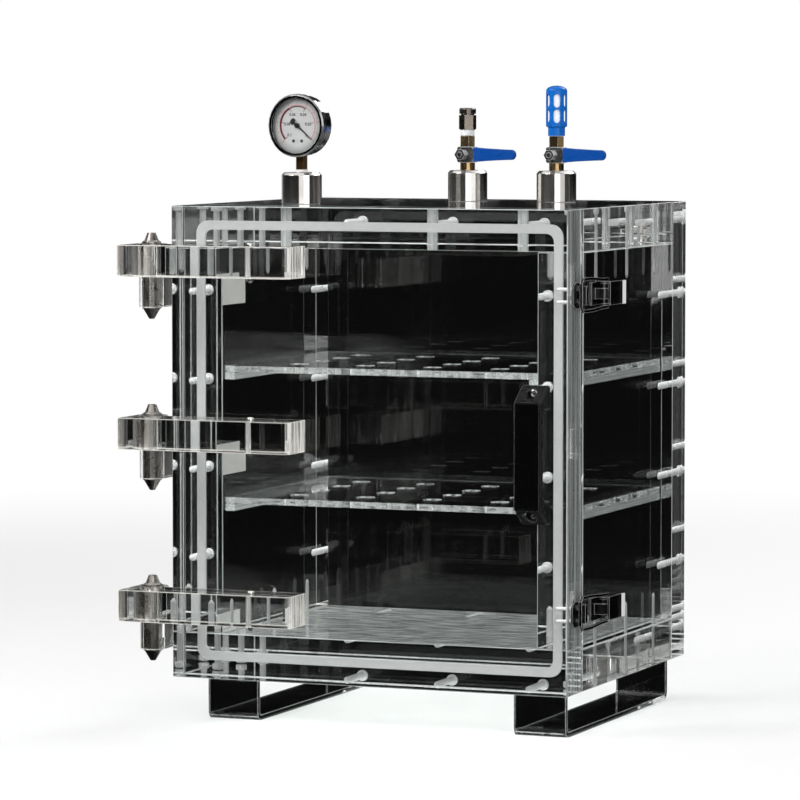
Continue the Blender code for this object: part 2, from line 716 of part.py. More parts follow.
def port_plug(x, base, frame):
    """Steel plug on the vent valve: a hexagon between a round cap and a taped thread."""
    cap_low = plug_h - plug_cap_h
    tape_r = hex_af * 0.52
    round_off = 0.0012
    cap_rim, cap_top, groove_r = cap_low + tape_l, plug_h + tape_l, plug_hex_af / 2 - plug_groove
    profile = [(bore_r, seat), (tape_r, seat), (tape_r, tape_l), (plug_hex_af / 2, tape_l),
               (groove_r, cap_rim - plug_groove), (groove_r, cap_rim), (plug_r, cap_rim),
               (plug_r, cap_top - round_off), (plug_r - round_off, cap_top), (bore_r, cap_top)]
    place = (x, valve_y, base)
    plug = put("port_plug", turned(profile), place, frame, steel())
    flats = raised([polygon(plug_hex_af), circle(0, 0, bore_r + 0.001, 16)], cap_low - plug_groove - 0.001,
                   tape_l + 0.0005)
    combine(plug, tool("plug_hexagon", flats, place, frame, (0, 0, math.pi / 6)), "UNION")


def muffler(x, base, frame):
    """Slotted plastic muffler on the pump valve, over a porous core."""
    shoulder = muffler_neck_h + 0.0012
    crown = muffler_h - muffler_dome
    neck_inner, inner_r = muffler_neck_r - muffler_wall, muffler_r - muffler_wall
    dome = [(x, crown + y * muffler_dome / muffler_r) for x, y in arc(0, 0, muffler_r, 0, 90, 5)[:-1]]
    outside = [(neck_inner, seat), (muffler_neck_r, seat), (muffler_neck_r, muffler_neck_h),
               (muffler_r, shoulder)]
    inside = [(0, muffler_h), (0, crown - 0.001), (inner_r, crown - 0.001), (inner_r, shoulder + 0.001),
              (neck_inner, muffler_neck_h)]
    place = (x, valve_y, base)
    shell = put("muffler", turned_shell(outside + dome + inside, 22), place, frame,
                look("blue_plastic", (0.01, 0.20, 0.72), 0.32))
    for height in slot_rows:
        for k in range(slot_count // 2):
            slot = rounded(-slot_w / 2, -slot_h / 2, slot_w / 2, slot_h / 2, slot_w / 2 - 0.0001, 2)
            cutter = raised([slot], 4 * muffler_r, -2 * muffler_r)
            spot = (x, valve_y, base + height)
            turn = (math.pi / 2, 0, slot_turn + 2 * math.pi * k / slot_count)
            combine(shell, tool("slot_shape", cutter, spot, frame, turn), "DIFFERENCE")
    core = [(0, shoulder + 0.0015), (core_r, shoulder + 0.0015), (core_r, crown - 0.001 - seat),
            (0, crown - 0.001 - seat)]
    put("muffler_core", turned(core, small_steps), place, frame, look("porous_core", (0.86, 0.87, 0.88), 0.8))


def gauge(frame):
    """Dial gauge on its brass stem, screwed in with its face a few degrees off square."""
    stem_base = boss_top + seat
    centre = (gauge_x, gauge_y, boss_top + gauge_rise)
    turn = (math.pi / 2, 0, gauge_turn)
    case_front = gauge_front - bezel_l
    case_back = gauge_front - gauge_depth
    outer, inner = gauge_case_r, gauge_case_r - gauge_case_t
    dial_back = gauge_front - lens_t - 0.001 - dial_drop - dial_t
    post_top = dial_back - seat
    profile = [(0, case_back), (outer - 0.002, case_back), (outer, case_back + 0.002), (outer, case_front),
               (inner, case_front), (inner, case_back + gauge_case_t), (0.004, case_back + gauge_case_t),
               (0.004, post_top), (spindle_r + running_gap, post_top),
               (spindle_r + running_gap, post_top - 0.004),
               (0, post_top - 0.004)]
    case = put("gauge_case", turned(profile, gauge_steps), centre, frame, chrome(), turn)
    stem_top = gauge_rise - gauge_case_r + 0.0008
    entry = raised([polygon(stem_square + 2 * running_gap, 4, math.pi / 4)], stem_top + running_gap + 0.001)
    slot = tool("stem_entry", entry, (gauge_x, gauge_y, stem_base - 0.001), frame, (0, 0, gauge_turn))
    combine(case, slot, "DIFFERENCE")
    thread_low = -socket_l + 2 * seat
    thread = [(0, thread_low), (thread_r, thread_low), (thread_r, stem_collar), (0, stem_collar)]
    stem = put("gauge_stem", raised([polygon(stem_square, 4, math.pi / 4)], stem_top - seat),
               (gauge_x, gauge_y, stem_base), frame, brass(), (0, 0, gauge_turn))
    thread_shape = turned(thread, small_steps)
    combine(stem, tool("thread_shape", thread_shape, (gauge_x, gauge_y, stem_base), frame), "UNION")
    skirt, lip_back = case_front - bezel_skirt, gauge_front - 0.001 + seat
    rim = [(outer + running_gap, skirt), (gauge_r, skirt), (gauge_r, gauge_front - 0.0015),
           (gauge_r - 0.0015, gauge_front), (gauge_r - bezel_lip, gauge_front), (gauge_r - bezel_lip, lip_back),
           (inner, lip_back), (inner, case_front + seat), (outer + running_gap, case_front + seat)]
    put("gauge_bezel", turned(rim, gauge_steps), centre, frame, chrome(), turn)
    lens_front = gauge_front - 0.001
    pane = inner - seat
    lens = [(0, lens_front - lens_t), (pane, lens_front - lens_t), (pane, lens_front), (0, lens_front)]
    glass = look("gauge_glass", (0.95, 0.96, 0.97), 0.02, transmission=0.95)
    put("gauge_lens", turned(lens, gauge_steps), centre, frame, glass, turn)
    hole_r, dial_face = spindle_r + 0.0005, dial_back + dial_t
    dial = [(hole_r, dial_back), (pane, dial_back), (pane, dial_face), (hole_r, dial_face)]
    white = look("dial_white", (0.85, 0.85, 0.84), 0.45)
    put("gauge_dial", turned(dial, gauge_steps), centre, frame, white, turn)
    spindle = frame_empty("gauge_needle_axis", centre, frame)
    spindle.rotation_euler = turn
    needle(spindle, dial_back, dial_face)


def needle(spindle, dial_back, dial_face):
    """Black pointer with an arrow tail, at zero."""
    low = dial_face + 0.0005
    direction = (0, 0, needle_rest)
    blade = [(needle_l, 0.0003), (0.002, 0.0008), (-needle_tail + 0.0042, 0.0009),
             (-needle_tail + 0.0036, 0.0032), (-needle_tail + 0.0010, 0.0030), (-needle_tail, 0.0016)]
    outline = [(x, -y) for x, y in blade] + blade[::-1]
    pointer = put("gauge_needle", raised([outline], needle_t), (0, 0, low), spindle,
                  look("needle_black", (0.01, 0.01, 0.01), 0.4), direction)
    depth = low - dial_back + 0.0035
    hub_top = needle_t + 0.0006
    hub = [(0, -depth), (spindle_r, -depth), (spindle_r, -0.0002), (0.0026, -0.0002), (0.0026, hub_top),
           (0, hub_top)]
    combine(pointer, tool("hub_shape", turned(hub, 16), (0, 0, low), spindle), "UNION")


def build():
    clear_scene()
    frame = frame_empty("desiccator_frame", (origin_x, origin_y, origin_z))
    door_axis = frame_empty("door_axis", (pin_x, pin_y, 0), frame)
    chamber_walls(frame)
    gasket(frame)
    for level, top in shelf_tops.items():
        shelf(level, top, frame)
    feet(frame)
    door(door_axis)
    hinges(frame, door_axis)
    door_handle(door_axis)
    latches(frame, door_axis)
    boss("gauge_boss", gauge_x, gauge_y, frame)
    gauge(frame)
    tops = {}
    for name, x in valve_xs.items():
        boss(name + "_boss", x, valve_y, frame)
        axis_z, tops[name] = ball_valve(name, x, frame)
        spindle = frame_empty(name + "_valve_axis", (x, valve_y, axis_z), frame)
        valve_inside(name, spindle)
        valve_lever(name, spindle)
    port_plug(valve_xs["vent"], tops["vent"], frame)
    muffler(valve_xs["pump"], tops["pump"], frame)


build()
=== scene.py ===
# Vacuum desiccator box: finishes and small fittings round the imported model.
# Metres, +Z up, the door faces -Y.
import math

import bmesh
import bpy
from mathutils import Matrix, Vector


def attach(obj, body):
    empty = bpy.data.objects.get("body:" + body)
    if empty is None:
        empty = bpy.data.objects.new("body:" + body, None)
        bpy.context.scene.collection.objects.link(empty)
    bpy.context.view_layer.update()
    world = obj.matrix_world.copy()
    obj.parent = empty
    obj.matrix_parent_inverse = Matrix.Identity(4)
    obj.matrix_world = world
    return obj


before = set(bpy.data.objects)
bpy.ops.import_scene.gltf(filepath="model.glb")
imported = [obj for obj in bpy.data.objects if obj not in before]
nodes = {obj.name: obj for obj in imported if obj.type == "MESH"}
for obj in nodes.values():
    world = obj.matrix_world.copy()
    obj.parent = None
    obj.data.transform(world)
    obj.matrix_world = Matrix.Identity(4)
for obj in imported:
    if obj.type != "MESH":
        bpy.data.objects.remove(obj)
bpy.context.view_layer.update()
print("frame loaded:", len(nodes), "nodes")


# Object helpers
def addObject(name, data):
    thing = bpy.data.objects.new(name, data)
    bpy.context.scene.collection.objects.link(thing)
    return thing


def pointBack(thing, place, back):
    # cameras and lamps look along -Z, so their Z points back
    thing.location = place
    thing.rotation_mode = "QUATERNION"
    thing.rotation_quaternion = back.to_track_quat("Z", "Y")


# Camera
photoCamera = {
    "lens": 203.335,
    "sensor": 36.0,
    "azimuth": 21.97,
    "elevation": 3.98,
    "distance": 4.2125,
    "target": (0.04505, -0.1515, 0.3162),
    "nearest": 0.05,
    "farthest": 60.0,
}


def makeCamera(spec):
    turn, rise = math.radians(spec["azimuth"]), math.radians(spec["elevation"])
    back = Vector((math.sin(turn) * math.cos(rise), -math.cos(turn) * math.cos(rise), math.sin(rise)))
    data = bpy.data.cameras.new("photoCamera")
    data.lens = spec["lens"]
    data.sensor_width = spec["sensor"]
    data.clip_start = spec["nearest"]
    data.clip_end = spec["farthest"]
    camera = addObject("photoCamera", data)
    pointBack(camera, Vector(spec["target"]) + back * spec["distance"], back)
    bpy.context.scene.camera = camera


makeCamera(photoCamera)
print("camera placed")


# Node helpers
nodeGrid = {"columns": 8, "width": 240, "height": 360}


def addNode(tree, kind, inputs=None, **settings):
    # an input is a number, a colour or another node's output
    row, column = divmod(len(tree.nodes), nodeGrid["columns"])
    node = tree.nodes.new(kind)
    node.location = (column * nodeGrid["width"], -row * nodeGrid["height"])
    for key, value in settings.items():
        setattr(node, key, value)
    for key, value in (inputs or {}).items():
        if isinstance(value, bpy.types.NodeSocket):
            tree.links.new(value, node.inputs[key])
        else:
            node.inputs[key].default_value = value
    return node


def mathNode(tree, operation, *values):
    return addNode(tree, "ShaderNodeMath", dict(enumerate(values)), operation=operation).outputs["Value"]


def vectorNode(tree, operation, *values, output="Vector"):
    return addNode(tree, "ShaderNodeVectorMath", dict(enumerate(values)), operation=operation).outputs[output]


def rampNode(tree, value, low, high, start=0.0, stop=1.0):
    node = addNode(tree, "ShaderNodeMapRange", {
        "Value": value, "From Min": low, "From Max": high, "To Min": start, "To Max": stop})
    return node.outputs["Result"]


def mixColour(tree, share, first, second):
    # inputs 6 and 7 and output 2 are the node's colour sockets
    return addNode(tree, "ShaderNodeMix", {0: share, 6: first, 7: second}, data_type="RGBA").outputs[2]


def strongest(tree, masks):
    total = masks[0]
    for mask in masks[1:]:
        total = mathNode(tree, "MAXIMUM", total, mask)
    return total


def objectPlace(tree, source="Object"):
    return addNode(tree, "ShaderNodeTexCoord").outputs[source]


def objectAxes(tree, source="Object"):
    return addNode(tree, "ShaderNodeSeparateXYZ", {"Vector": objectPlace(tree, source)}).outputs


def edgeMask(tree, radius, normal, limits):
    bevel = addNode(tree, "ShaderNodeBevel", {"Radius": radius}, samples=6)
    surface = addNode(tree, "ShaderNodeNewGeometry")
    turned = vectorNode(tree, "DOT_PRODUCT", bevel.outputs["Normal"], surface.outputs[normal], output="Value")
    return rampNode(tree, turned, *limits)


def grey(level, warm=0.0):
    return (level * (1 + warm), level, level * (1 - warm), 1.0)


def newMaterial(name):
    material = bpy.data.materials.new(name)
    material.use_nodes = True
    material.node_tree.nodes.clear()
    return material, material.node_tree


def endMaterial(tree, surface):
    addNode(tree, "ShaderNodeOutputMaterial", {"Surface": surface})


def newGroup(name, inputs, outputs):
    tree = bpy.data.node_groups.new(name, "ShaderNodeTree")
    for label, default in inputs.items():
        kind = "NodeSocketVector" if isinstance(default, tuple) else "NodeSocketFloat"
        socket = tree.interface.new_socket(name=label, in_out="INPUT", socket_type=kind)
        socket.default_value = default
    for label in outputs:
        tree.interface.new_socket(name=label, in_out="OUTPUT", socket_type="NodeSocketFloat")
    return tree, addNode(tree, "NodeGroupInput").outputs


# Shared effects
marksLook = {
    "defaults": {"Scale": 30.0, "Smudge": 0.05, "Scratch": 0.3, "Base Roughness": 0.1},
    "smudge": {"Detail": 3.0, "Roughness": 0.55},
    "smudgeLimits": (0.45, 0.75),
    "scratchWay": {"Rotation": (0.4, 0.7, 0.5), "Scale": (1, 26, 3)},
    "scratch": {"Scale": 55.0, "Detail": 2.0},
    "scratchLimits": (0.66, 0.72),
    "scratchRoughness": 0.25,
}
wearAndHighlightLook = {"defaults": {"Radius": 0.0006, "Amount": 1.0}, "limits": (0.985, 0.8)}
grainLook = {
    "defaults": {"Stretch": (1.0, 1.0, 1.0), "Scale": 400.0},
    "noise": {"Detail": 4.0, "Roughness": 0.6},
}


def makeHandlingMarks(spec):
    tree, given = newGroup("handlingMarks", spec["defaults"], ["Roughness", "Height"])
    where = objectPlace(tree)
    smudge = addNode(tree, "ShaderNodeTexNoise", {"Vector": where, "Scale": given["Scale"], **spec["smudge"]})
    smudged = rampNode(tree, smudge.outputs["Fac"], *spec["smudgeLimits"])
    roughness = mathNode(tree, "ADD", mathNode(tree, "MULTIPLY", smudged, given["Smudge"]),
                         given["Base Roughness"])
    way = addNode(tree, "ShaderNodeMapping", {"Vector": where, **spec["scratchWay"]})
    scratch = addNode(tree, "ShaderNodeTexNoise", {"Vector": way.outputs["Vector"], **spec["scratch"]})
    scratched = rampNode(tree, scratch.outputs["Fac"], *spec["scratchLimits"])
    depth = mathNode(tree, "MULTIPLY", scratched, given["Scratch"])
    addNode(tree, "NodeGroupOutput", {
        "Roughness": mathNode(tree, "MULTIPLY_ADD", depth, spec["scratchRoughness"], roughness),
        "Height": mathNode(tree, "SUBTRACT", 1.0, depth)})
    return tree


# the edges found here take a paler colour: partly wear, partly a painted highlight along the outlines
def makeEdgeWearAndHighlight(spec):
    tree, given = newGroup("edgeWearAndHighlight", spec["defaults"], ["Edge"])
    wornAndLitEdge = edgeMask(tree, given["Radius"], "Normal", spec["limits"])
    addNode(tree, "NodeGroupOutput", {"Edge": mathNode(tree, "MULTIPLY", wornAndLitEdge, given["Amount"])})
    return tree


def makeGrain(spec):
    tree, given = newGroup("toolGrain", spec["defaults"], ["Grain"])
    mapped = vectorNode(tree, "MULTIPLY", objectPlace(tree), given["Stretch"])
    noise = addNode(tree, "ShaderNodeTexNoise", {"Vector": mapped, "Scale": given["Scale"], **spec["noise"]})
    addNode(tree, "NodeGroupOutput", {"Grain": noise.outputs["Fac"]})
    return tree


def placeGroup(tree, group, inputs):
    return addNode(tree, "ShaderNodeGroup", inputs, node_tree=group).outputs


handlingMarks = makeHandlingMarks(marksLook)
edgeWearAndHighlight = makeEdgeWearAndHighlight(wearAndHighlightLook)
toolGrain = makeGrain(grainLook)
print("shared effects ready")


# Acrylic: clear faces, with milled, glued and worn places that scatter the light, and pale layers of painted
# light on the inner floor and the door's right side face
acrylicLook = {
    "clear": {"Base Color": (0.985, 0.992, 0.989, 1.0), "Transmission Weight": 1.0, "IOR": 1.49},
    "marks": {"Scale": 22.0, "Scratch": 0.05, "Base Roughness": 0.004},
    "bump": {"Strength": 0.15, "Distance": 0.00005},
    "shadowTint": (0.93, 0.94, 0.935, 1.0),
    "frostAndPaintedLightColour": (0.66, 0.68, 0.67, 1.0),
    "frostAndPaintedLightRoughness": 0.5,
    "sawMarksAndWaves": {"Scale": 1.0, "Detail": 5.0, "Roughness": 0.62},
    "sawMarkAndWaveLimits": (0.36, 0.62),
    "planeTolerance": 0.0005,
    "edgeLimits": (0.985, 0.86),
}


def onPlanes(tree, planes):
    axes = objectAxes(tree)
    tolerance = acrylicLook["planeTolerance"]
    masks = [mathNode(tree, "COMPARE", axes[axis], value, tolerance) for axis, value in planes]
    return strongest(tree, masks)


def onChamfers(tree, limits):
    facing = [mathNode(tree, "ABSOLUTE", side) for side in objectAxes(tree, "Normal")]
    return rampNode(tree, strongest(tree, facing), *limits)


def onSides(tree, limits):
    return rampNode(tree, mathNode(tree, "ABSOLUTE", objectAxes(tree, "Normal")["Z"]), *limits)


def inHoles(tree, holes):
    flat = vectorNode(tree, "MULTIPLY", objectPlace(tree), (1.0, 1.0, 0.0))
    reaches = [vectorNode(tree, "DISTANCE", flat, (x, y, 0.0), output="Value") for x, y in holes["centres"]]
    return strongest(tree, [mathNode(tree, "LESS_THAN", reach, holes["radius"]) for reach in reaches])


def onEdges(tree, radius):
    return edgeMask(tree, radius, "True Normal", acrylicLook["edgeLimits"])


def sawMarksAndWaves(tree, stretch):
    scaled = vectorNode(tree, "MULTIPLY", objectPlace(tree), stretch)
    noise = addNode(tree, "ShaderNodeTexNoise", {"Vector": scaled, **acrylicLook["sawMarksAndWaves"]})
    return rampNode(tree, noise.outputs["Fac"], *acrylicLook["sawMarkAndWaveLimits"])


frostAndPaintedLightMakers = {
    "planes": onPlanes,
    "chamfers": onChamfers,
    "sides": onSides,
    "holes": inHoles,
    "edges": onEdges,
}


def endGlass(tree, surface, shadowTint):
    # light that casts a shadow goes straight through, dimmed a little
    passing = addNode(tree, "ShaderNodeBsdfTransparent", {"Color": shadowTint})
    rays = addNode(tree, "ShaderNodeLightPath")
    final = addNode(tree, "ShaderNodeMixShader", {
        0: rays.outputs["Is Shadow Ray"], 1: surface, 2: passing.outputs["BSDF"]})
    endMaterial(tree, final.outputs["Shader"])


def makeAcrylic(name, frostAndPaintedLight, smudge=0.012, frostAndPaintedLightColour=acrylicLook["frostAndPaintedLightColour"]):
    material, tree = newMaterial(name)
    marks = placeGroup(tree, handlingMarks, {"Smudge": smudge, **acrylicLook["marks"]})
    bump = addNode(tree, "ShaderNodeBump", {"Height": marks["Height"], **acrylicLook["bump"]})
    clear = addNode(tree, "ShaderNodeBsdfPrincipled", {
        "Roughness": marks["Roughness"], "Normal": bump.outputs["Normal"], **acrylicLook["clear"]})
    pale = addNode(tree, "ShaderNodeBsdfPrincipled", {
        "Base Color": frostAndPaintedLightColour, "Roughness": acrylicLook["frostAndPaintedLightRoughness"]})
    masks = []
    for kind, where, share, stretch, evenness in frostAndPaintedLight:
        mask = mathNode(tree, "MULTIPLY", frostAndPaintedLightMakers[kind](tree, where), share)
        lively = rampNode(tree, sawMarksAndWaves(tree, stretch), 0.0, 1.0, evenness)
        masks.append(mathNode(tree, "MULTIPLY", mask, lively))
    surface = addNode(tree, "ShaderNodeMixShader", {
        0: strongest(tree, masks), 1: clear.outputs["BSDF"], 2: pale.outputs["BSDF"]})
    endGlass(tree, surface.outputs["Shader"], acrylicLook["shadowTint"])
    return material


# each row, of frost and of painted light alike: where it lies, how strong it is, how its saw marks (on the
# inner floor the waves of a painted reflection) are packed along X, Y and Z, and the share of its strength
# that is left between the marks
alongX, alongY, alongZ = (6.0, 420.0, 420.0), (420.0, 6.0, 420.0), (420.0, 420.0, 5.0)
chamferLimits = (0.97, 0.85)
sideLimits = (0.7, 0.4)
rightFace = [("X", 0.21085)]
portHoles = {"centres": [(-0.10015, -0.0445), (0.00965, 0.1145), (0.10285, 0.1145)], "radius": 0.0062}
topAcrylic = makeAcrylic("topAcrylic", [
    ("chamfers", chamferLimits, 0.75, alongX, 0.4),
    ("holes", portHoles, 0.62, alongZ, 0.5),
    ("planes", rightFace, 0.10, alongY, 0.0)])
bottomAcrylic = makeAcrylic("bottomAcrylic", [
    ("chamfers", chamferLimits, 0.75, alongX, 0.4),
    # the inner floor's pale wavy layer is a painted reflection of the lights
    ("planes", [("Z", 0.085)], 0.46, (26.0, 330.0, 1.0), 0.0),
    ("planes", rightFace, 0.12, alongY, 0.0)])
sideAcrylic = makeAcrylic("sideAcrylic", [("chamfers", chamferLimits, 0.75, alongZ, 0.4)])
backAcrylic = makeAcrylic("backAcrylic", [
    ("chamfers", chamferLimits, 0.75, alongZ, 0.4),
    ("planes", rightFace, 0.10, alongZ, 0.2)])
# the door's right side face is a saw-marked cut edge, and its pale grey-green is painted light carried inside
# the panel
doorAcrylic = makeAcrylic("doorAcrylic", [
    ("chamfers", chamferLimits, 0.75, alongZ, 0.4),
    ("planes", rightFace, 0.46, alongZ, 0.25)], frostAndPaintedLightColour=(0.48, 0.52, 0.51, 1.0))
shelfAcrylic = makeAcrylic("shelfAcrylic", [
    ("sides", sideLimits, 0.42, (70.0, 70.0, 500.0), 0.0),
    ("chamfers", chamferLimits, 0.95, alongZ, 0.6)])
railAcrylic = makeAcrylic("railAcrylic", [
    ("sides", sideLimits, 0.62, alongY, 0.4),
    ("planes", [("Z", 0.2027), ("Z", 0.3287)], 0.45, alongY, 0.4)])
armAcrylic = makeAcrylic("armAcrylic", [
    ("edges", 0.0020, 1.0, alongX, 0.55),
    ("planes", [("X", -0.05115)], 0.85, (330.0, 330.0, 16.0), 0.0),
    ("chamfers", chamferLimits, 0.3, alongZ, 0.2)], smudge=0.03, frostAndPaintedLightColour=(0.90, 0.87, 0.82, 1.0))
leafAcrylic = makeAcrylic("leafAcrylic", [
    ("edges", 0.0012, 0.8, alongY, 0.5),
    ("planes", [("X", -0.18945)], 1.0, (900.0, 900.0, 900.0), 0.92)],
    smudge=0.03, frostAndPaintedLightColour=(0.93, 0.91, 0.88, 1.0))
footAcrylic = makeAcrylic("footAcrylic", [("edges", 0.0016, 0.8, alongY, 0.4)], smudge=0.08)
print("acrylic ready")


# Opaque finishes
finishLook = {"marksScale": 60.0, "edgeAmount": 0.9, "marksHeight": 0.6, "bumpStrength": 0.5}


def reachFrom(tree, centre):
    upright = vectorNode(tree, "MULTIPLY", objectPlace(tree), (1.0, 0.0, 1.0))
    return vectorNode(tree, "DISTANCE", upright, (centre[0], 0.0, centre[2]), output="Value")


def makeFinish(name, colour, second, roughness, metallic=0.0, smudge=0.12, scratch=0.3,
               grainStretch=(1, 1, 1), grainScale=300.0, grainDepth=0.00004, edgeWearAndHighlightColour=None,
               edgeRadius=0.0007, mattEdges=False, rounding=0.0006, band=None, ring=None, extra=None):
    material, tree = newMaterial(name)
    marks = placeGroup(tree, handlingMarks, {
        "Scale": finishLook["marksScale"], "Smudge": smudge, "Scratch": scratch, "Base Roughness": roughness})
    grain = placeGroup(tree, toolGrain, {"Stretch": grainStretch, "Scale": grainScale})["Grain"]
    shade = mixColour(tree, grain, colour, second)
    dull = []
    if band:
        inBand = mathNode(tree, "COMPARE", objectAxes(tree)[band["axis"]], band["middle"], band["half"])
        shade = mixColour(tree, inBand, shade, band["colour"])
        dull.append(inBand)
    # a ring round a centre takes another colour: the bezel's painted highlight on its rim and the dial's
    # painted shade under the bezel
    if ring:
        paintedRingShare = rampNode(tree, reachFrom(tree, ring["centre"]), *ring["between"])
        shade = mixColour(tree, paintedRingShare, shade, ring["colour"])
    # edges take a paler colour: partly wear, partly a painted highlight along the outlines
    if edgeWearAndHighlightColour:
        wornAndLitEdge = placeGroup(tree, edgeWearAndHighlight, {"Radius": edgeRadius, "Amount": finishLook["edgeAmount"]})["Edge"]
        shade = mixColour(tree, wornAndLitEdge, shade, edgeWearAndHighlightColour)
        dull.append(wornAndLitEdge)
    # the pale edges and the band turn matt, so the edges stay bright whatever they reflect: a painted
    # highlight
    if mattEdges:
        metallic = rampNode(tree, strongest(tree, dull), 1.0, 0.0)
    bump = {
        "Strength": finishLook["bumpStrength"], "Distance": grainDepth,
        "Height": mathNode(tree, "MULTIPLY_ADD", marks["Height"], finishLook["marksHeight"], grain)}
    if rounding:
        softened = addNode(tree, "ShaderNodeBevel", {"Radius": rounding}, samples=4)
        bump["Normal"] = softened.outputs["Normal"]
    shader = addNode(tree, "ShaderNodeBsdfPrincipled", {
        "Base Color": shade, "Roughness": marks["Roughness"], "Metallic": metallic,
        "Normal": addNode(tree, "ShaderNodeBump", bump).outputs["Normal"], **(extra or {})})
    endMaterial(tree, shader.outputs["BSDF"])
    return material


dialMiddle = (-0.1010, -0.0445, 0.5703)
bezelMiddle = (-0.1014, -0.0445, 0.5703)
pressedLook = {
    "metallic": 1.0, "grainDepth": 0.00001, "edgeWearAndHighlightColour": grey(0.80), "edgeRadius": 0.0008,
    "rounding": 0.0009, "mattEdges": True}
turnedLook = {"metallic": 1.0, "grainStretch": (0.15, 0.15, 6.0), "grainScale": 420.0}
chromeLook = {"metallic": 1.0, "grainDepth": 0.00001, "rounding": 0.0008}
plainLook = {"scratch": 0.0, "rounding": 0}
nylonLook = {"scratch": 0.0, "grainScale": 160.0, "rounding": 0}
silicone = makeFinish("siliconeGasket", grey(0.52), grey(0.64), 0.45, scratch=0.0,
                      grainScale=180.0, rounding=0.0005)
turnedSteel = makeFinish("turnedSteel", grey(0.62, 0.05), grey(0.82, 0.03), 0.18, smudge=0.03,
                         grainDepth=0.00001, edgeWearAndHighlightColour=grey(0.85), **turnedLook)
hingeSteel = makeFinish("hingeSteel", grey(0.24, 0.10), grey(0.42, 0.06), 0.27, smudge=0.2,
                        grainDepth=0.00003, edgeWearAndHighlightColour=grey(0.8), **turnedLook)
# near-black colour on plated steel: a painted dark reflection of the surroundings; its pale matt edges are
# partly wear, partly painted highlight
pressedSteelPaintedReflection = makeFinish("pressedSteelPaintedReflection", grey(0.06), grey(0.11), 0.15, **pressedLook)
leverSteelPaintedReflection = makeFinish("leverSteelPaintedReflection", grey(0.06), grey(0.11), 0.15, **pressedLook,
                        band={"axis": "Y", "middle": -0.0385, "half": 0.0030, "colour": grey(0.68)})
brightPlate = makeFinish("brightPlate", grey(0.50), grey(0.62), 0.18, metallic=1.0, grainDepth=0.00001,
                         edgeWearAndHighlightColour=grey(0.8), mattEdges=True)
valveMetal = makeFinish("valveMetal", (0.30, 0.20, 0.09, 1), (0.42, 0.30, 0.15, 1), 0.24, metallic=1.0,
                        band={"axis": "Z", "middle": 0.5411, "half": 0.0078, "colour": grey(0.20)},
                        edgeWearAndHighlightColour=grey(0.80), rounding=0.0008)
machinedBrass = makeFinish("machinedBrass", (0.14, 0.075, 0.03, 1), (0.22, 0.13, 0.055, 1), 0.30,
                           metallic=1.0)
blackMoulding = makeFinish("blackMoulding", grey(0.0008), grey(0.002), 0.26, grainScale=900.0,
                           edgeWearAndHighlightColour=grey(0.30), edgeRadius=0.0006, rounding=0.0010,
                           extra={"Specular IOR Level": 0.10})
blueDip = makeFinish("blueDip", (0.0, 0.052, 0.28, 1), (0.0, 0.068, 0.34, 1), 0.26, scratch=0.1,
                     edgeWearAndHighlightColour=(0.01, 0.12, 0.45, 1), rounding=0.0012, extra={"Specular IOR Level": 0.25})
blueMoulding = makeFinish("blueMoulding", (0.0, 0.110, 0.46, 1), (0.0, 0.140, 0.54, 1), 0.26, scratch=0.1,
                          edgeWearAndHighlightColour=(0.02, 0.22, 0.62, 1), extra={"Specular IOR Level": 0.25})
# the core glows a little though it is no lamp: painted light
whiteCorePaintedGlow = makeFinish("whiteCorePaintedGlow", grey(0.90), grey(0.97), 0.8, scratch=0.0, grainScale=1600.0,
                       extra={"Emission Color": grey(1.0), "Emission Strength": 0.25})
gaugeChrome = makeFinish("gaugeChrome", grey(0.50), grey(0.60), 0.12, **chromeLook)
# chrome given a near-black colour, a painted dark reflection, with a paler outer rim, a painted highlight
bezelPaintedReflection = makeFinish("bezelPaintedReflection", grey(0.012), grey(0.02), 0.14, **chromeLook,
                         ring={"centre": bezelMiddle, "between": (0.0283, 0.0291), "colour": grey(0.36)})
# chrome plug given a dark colour: a painted dark reflection
plugSteelPaintedReflection = makeFinish("plugSteelPaintedReflection", grey(0.10, 0.18), grey(0.17, 0.15), 0.26, metallic=1.0,
                       edgeWearAndHighlightColour=grey(0.7), rounding=0.0007)
darkSteel = makeFinish("darkSteel", grey(0.05), grey(0.10), 0.35, metallic=1.0, edgeWearAndHighlightColour=grey(0.3),
                       rounding=0)
cloudyNylon = makeFinish("cloudyNylon", grey(0.36), grey(0.58), 0.30, **nylonLook)
frostedNylon = makeFinish("frostedNylon", grey(0.80), grey(0.93), 0.30, **nylonLook)
sealTape = makeFinish("sealTape", grey(0.74), grey(0.86), 0.55, **plainLook)
# the dial turns darker towards its rim: painted shade cast by the bezel
dialWhitePaintedShade = makeFinish("dialWhitePaintedShade", grey(0.50), grey(0.54), 0.4, **plainLook,
                       ring={"centre": dialMiddle, "between": (0.0190, 0.0275), "colour": grey(0.20)})
dialRed = makeFinish("dialRed", (0.11, 0.004, 0.012, 1), (0.15, 0.008, 0.015, 1), 0.4, **plainLook)
dialThinRed = makeFinish("dialThinRed", (0.42, 0.10, 0.09, 1), (0.5, 0.14, 0.12, 1), 0.4, **plainLook)
dialInk = makeFinish("dialInk", grey(0.015), grey(0.03), 0.4, **plainLook)
pointerBlack = makeFinish("pointerBlack", grey(0.008), grey(0.014), 0.35, **plainLook)
print("opaque finishes ready")


# Gauge glass
lensLook = {
    "clear": {"Base Color": (0.985, 0.99, 0.99, 1), "Transmission Weight": 1.0, "IOR": 1.46},
    "marks": {"Scale": 50.0, "Smudge": 0.02, "Scratch": 0.05, "Base Roughness": 0.0},
    "shadowTint": grey(0.97),
}


def makeLens(spec):
    material, tree = newMaterial("gaugeLens")
    marks = placeGroup(tree, handlingMarks, spec["marks"])
    clear = addNode(tree, "ShaderNodeBsdfPrincipled", {"Roughness": marks["Roughness"], **spec["clear"]})
    endGlass(tree, clear.outputs["BSDF"], spec["shadowTint"])
    return material


gaugeLens = makeLens(lensLook)
print("materials ready")


